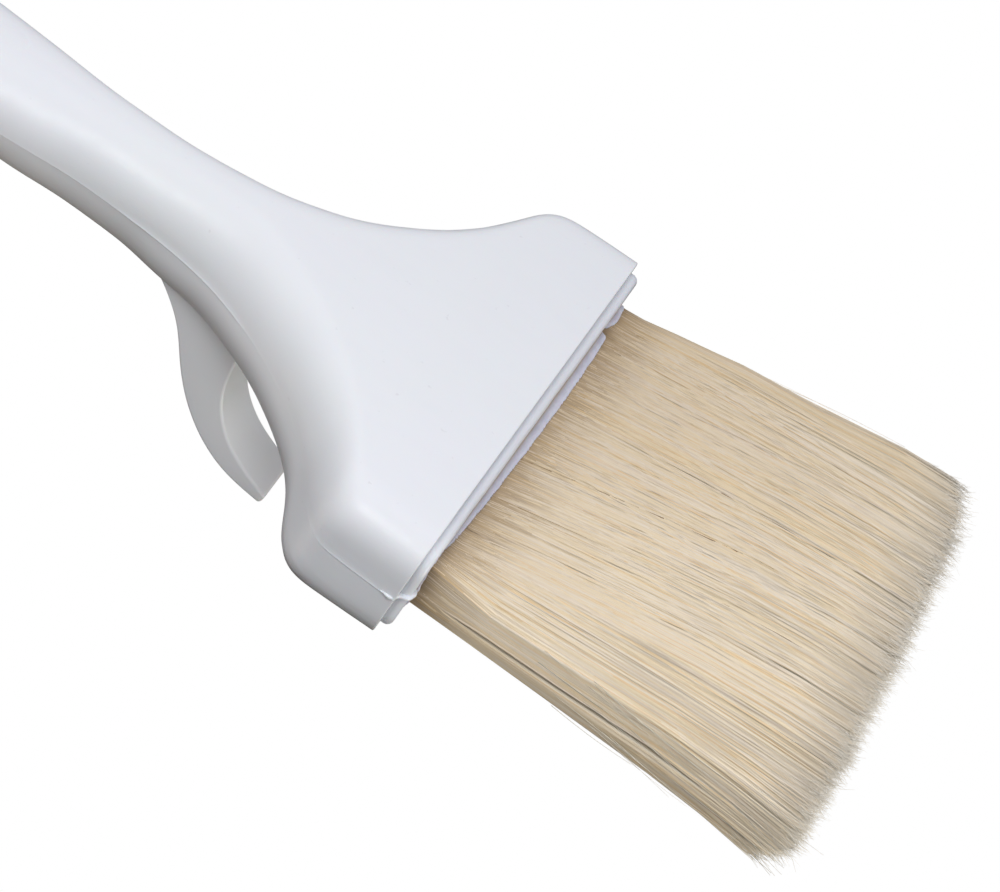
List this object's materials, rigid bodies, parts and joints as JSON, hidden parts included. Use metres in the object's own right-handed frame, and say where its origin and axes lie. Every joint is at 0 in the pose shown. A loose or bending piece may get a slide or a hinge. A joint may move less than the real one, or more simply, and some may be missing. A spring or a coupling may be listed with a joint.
{
  "type": "pastry brush",
  "caption": "Flat pastry brush with a moulded plastic handle, a resting hook behind the neck, a hang hole and natural bristles set in a collar.",
  "frame": {"origin": "under the middle of the brush, level with the lowest point of the hook", "axes": "+X along the brush from the butt to the bristle tips, +Y across the width of the head, +Z out of the front face, so the hook hangs below"},
  "size_m": [0.229, 0.0772, 0.0385],
  "materials": {
    "handle_plastic": "white moulded polypropylene, satin",
    "collar_plastic": "white moulded polypropylene, satin",
    "setting_resin": "cast white resin with a ragged upper edge",
    "plug_plastic": "plain moulded strip, hidden",
    "boar_bristle": "bleached natural boar bristle, cream to straw with brown roots"
  },
  "bodies": {
    "root": {"handle": "handle_plastic", "bristle_collar": "collar_plastic", "setting_resin": "setting_resin", "spacer_plug": "plug_plastic", "front_bristle_row": "boar_bristle", "back_bristle_row": "boar_bristle"}
  },
  "joints": []
}
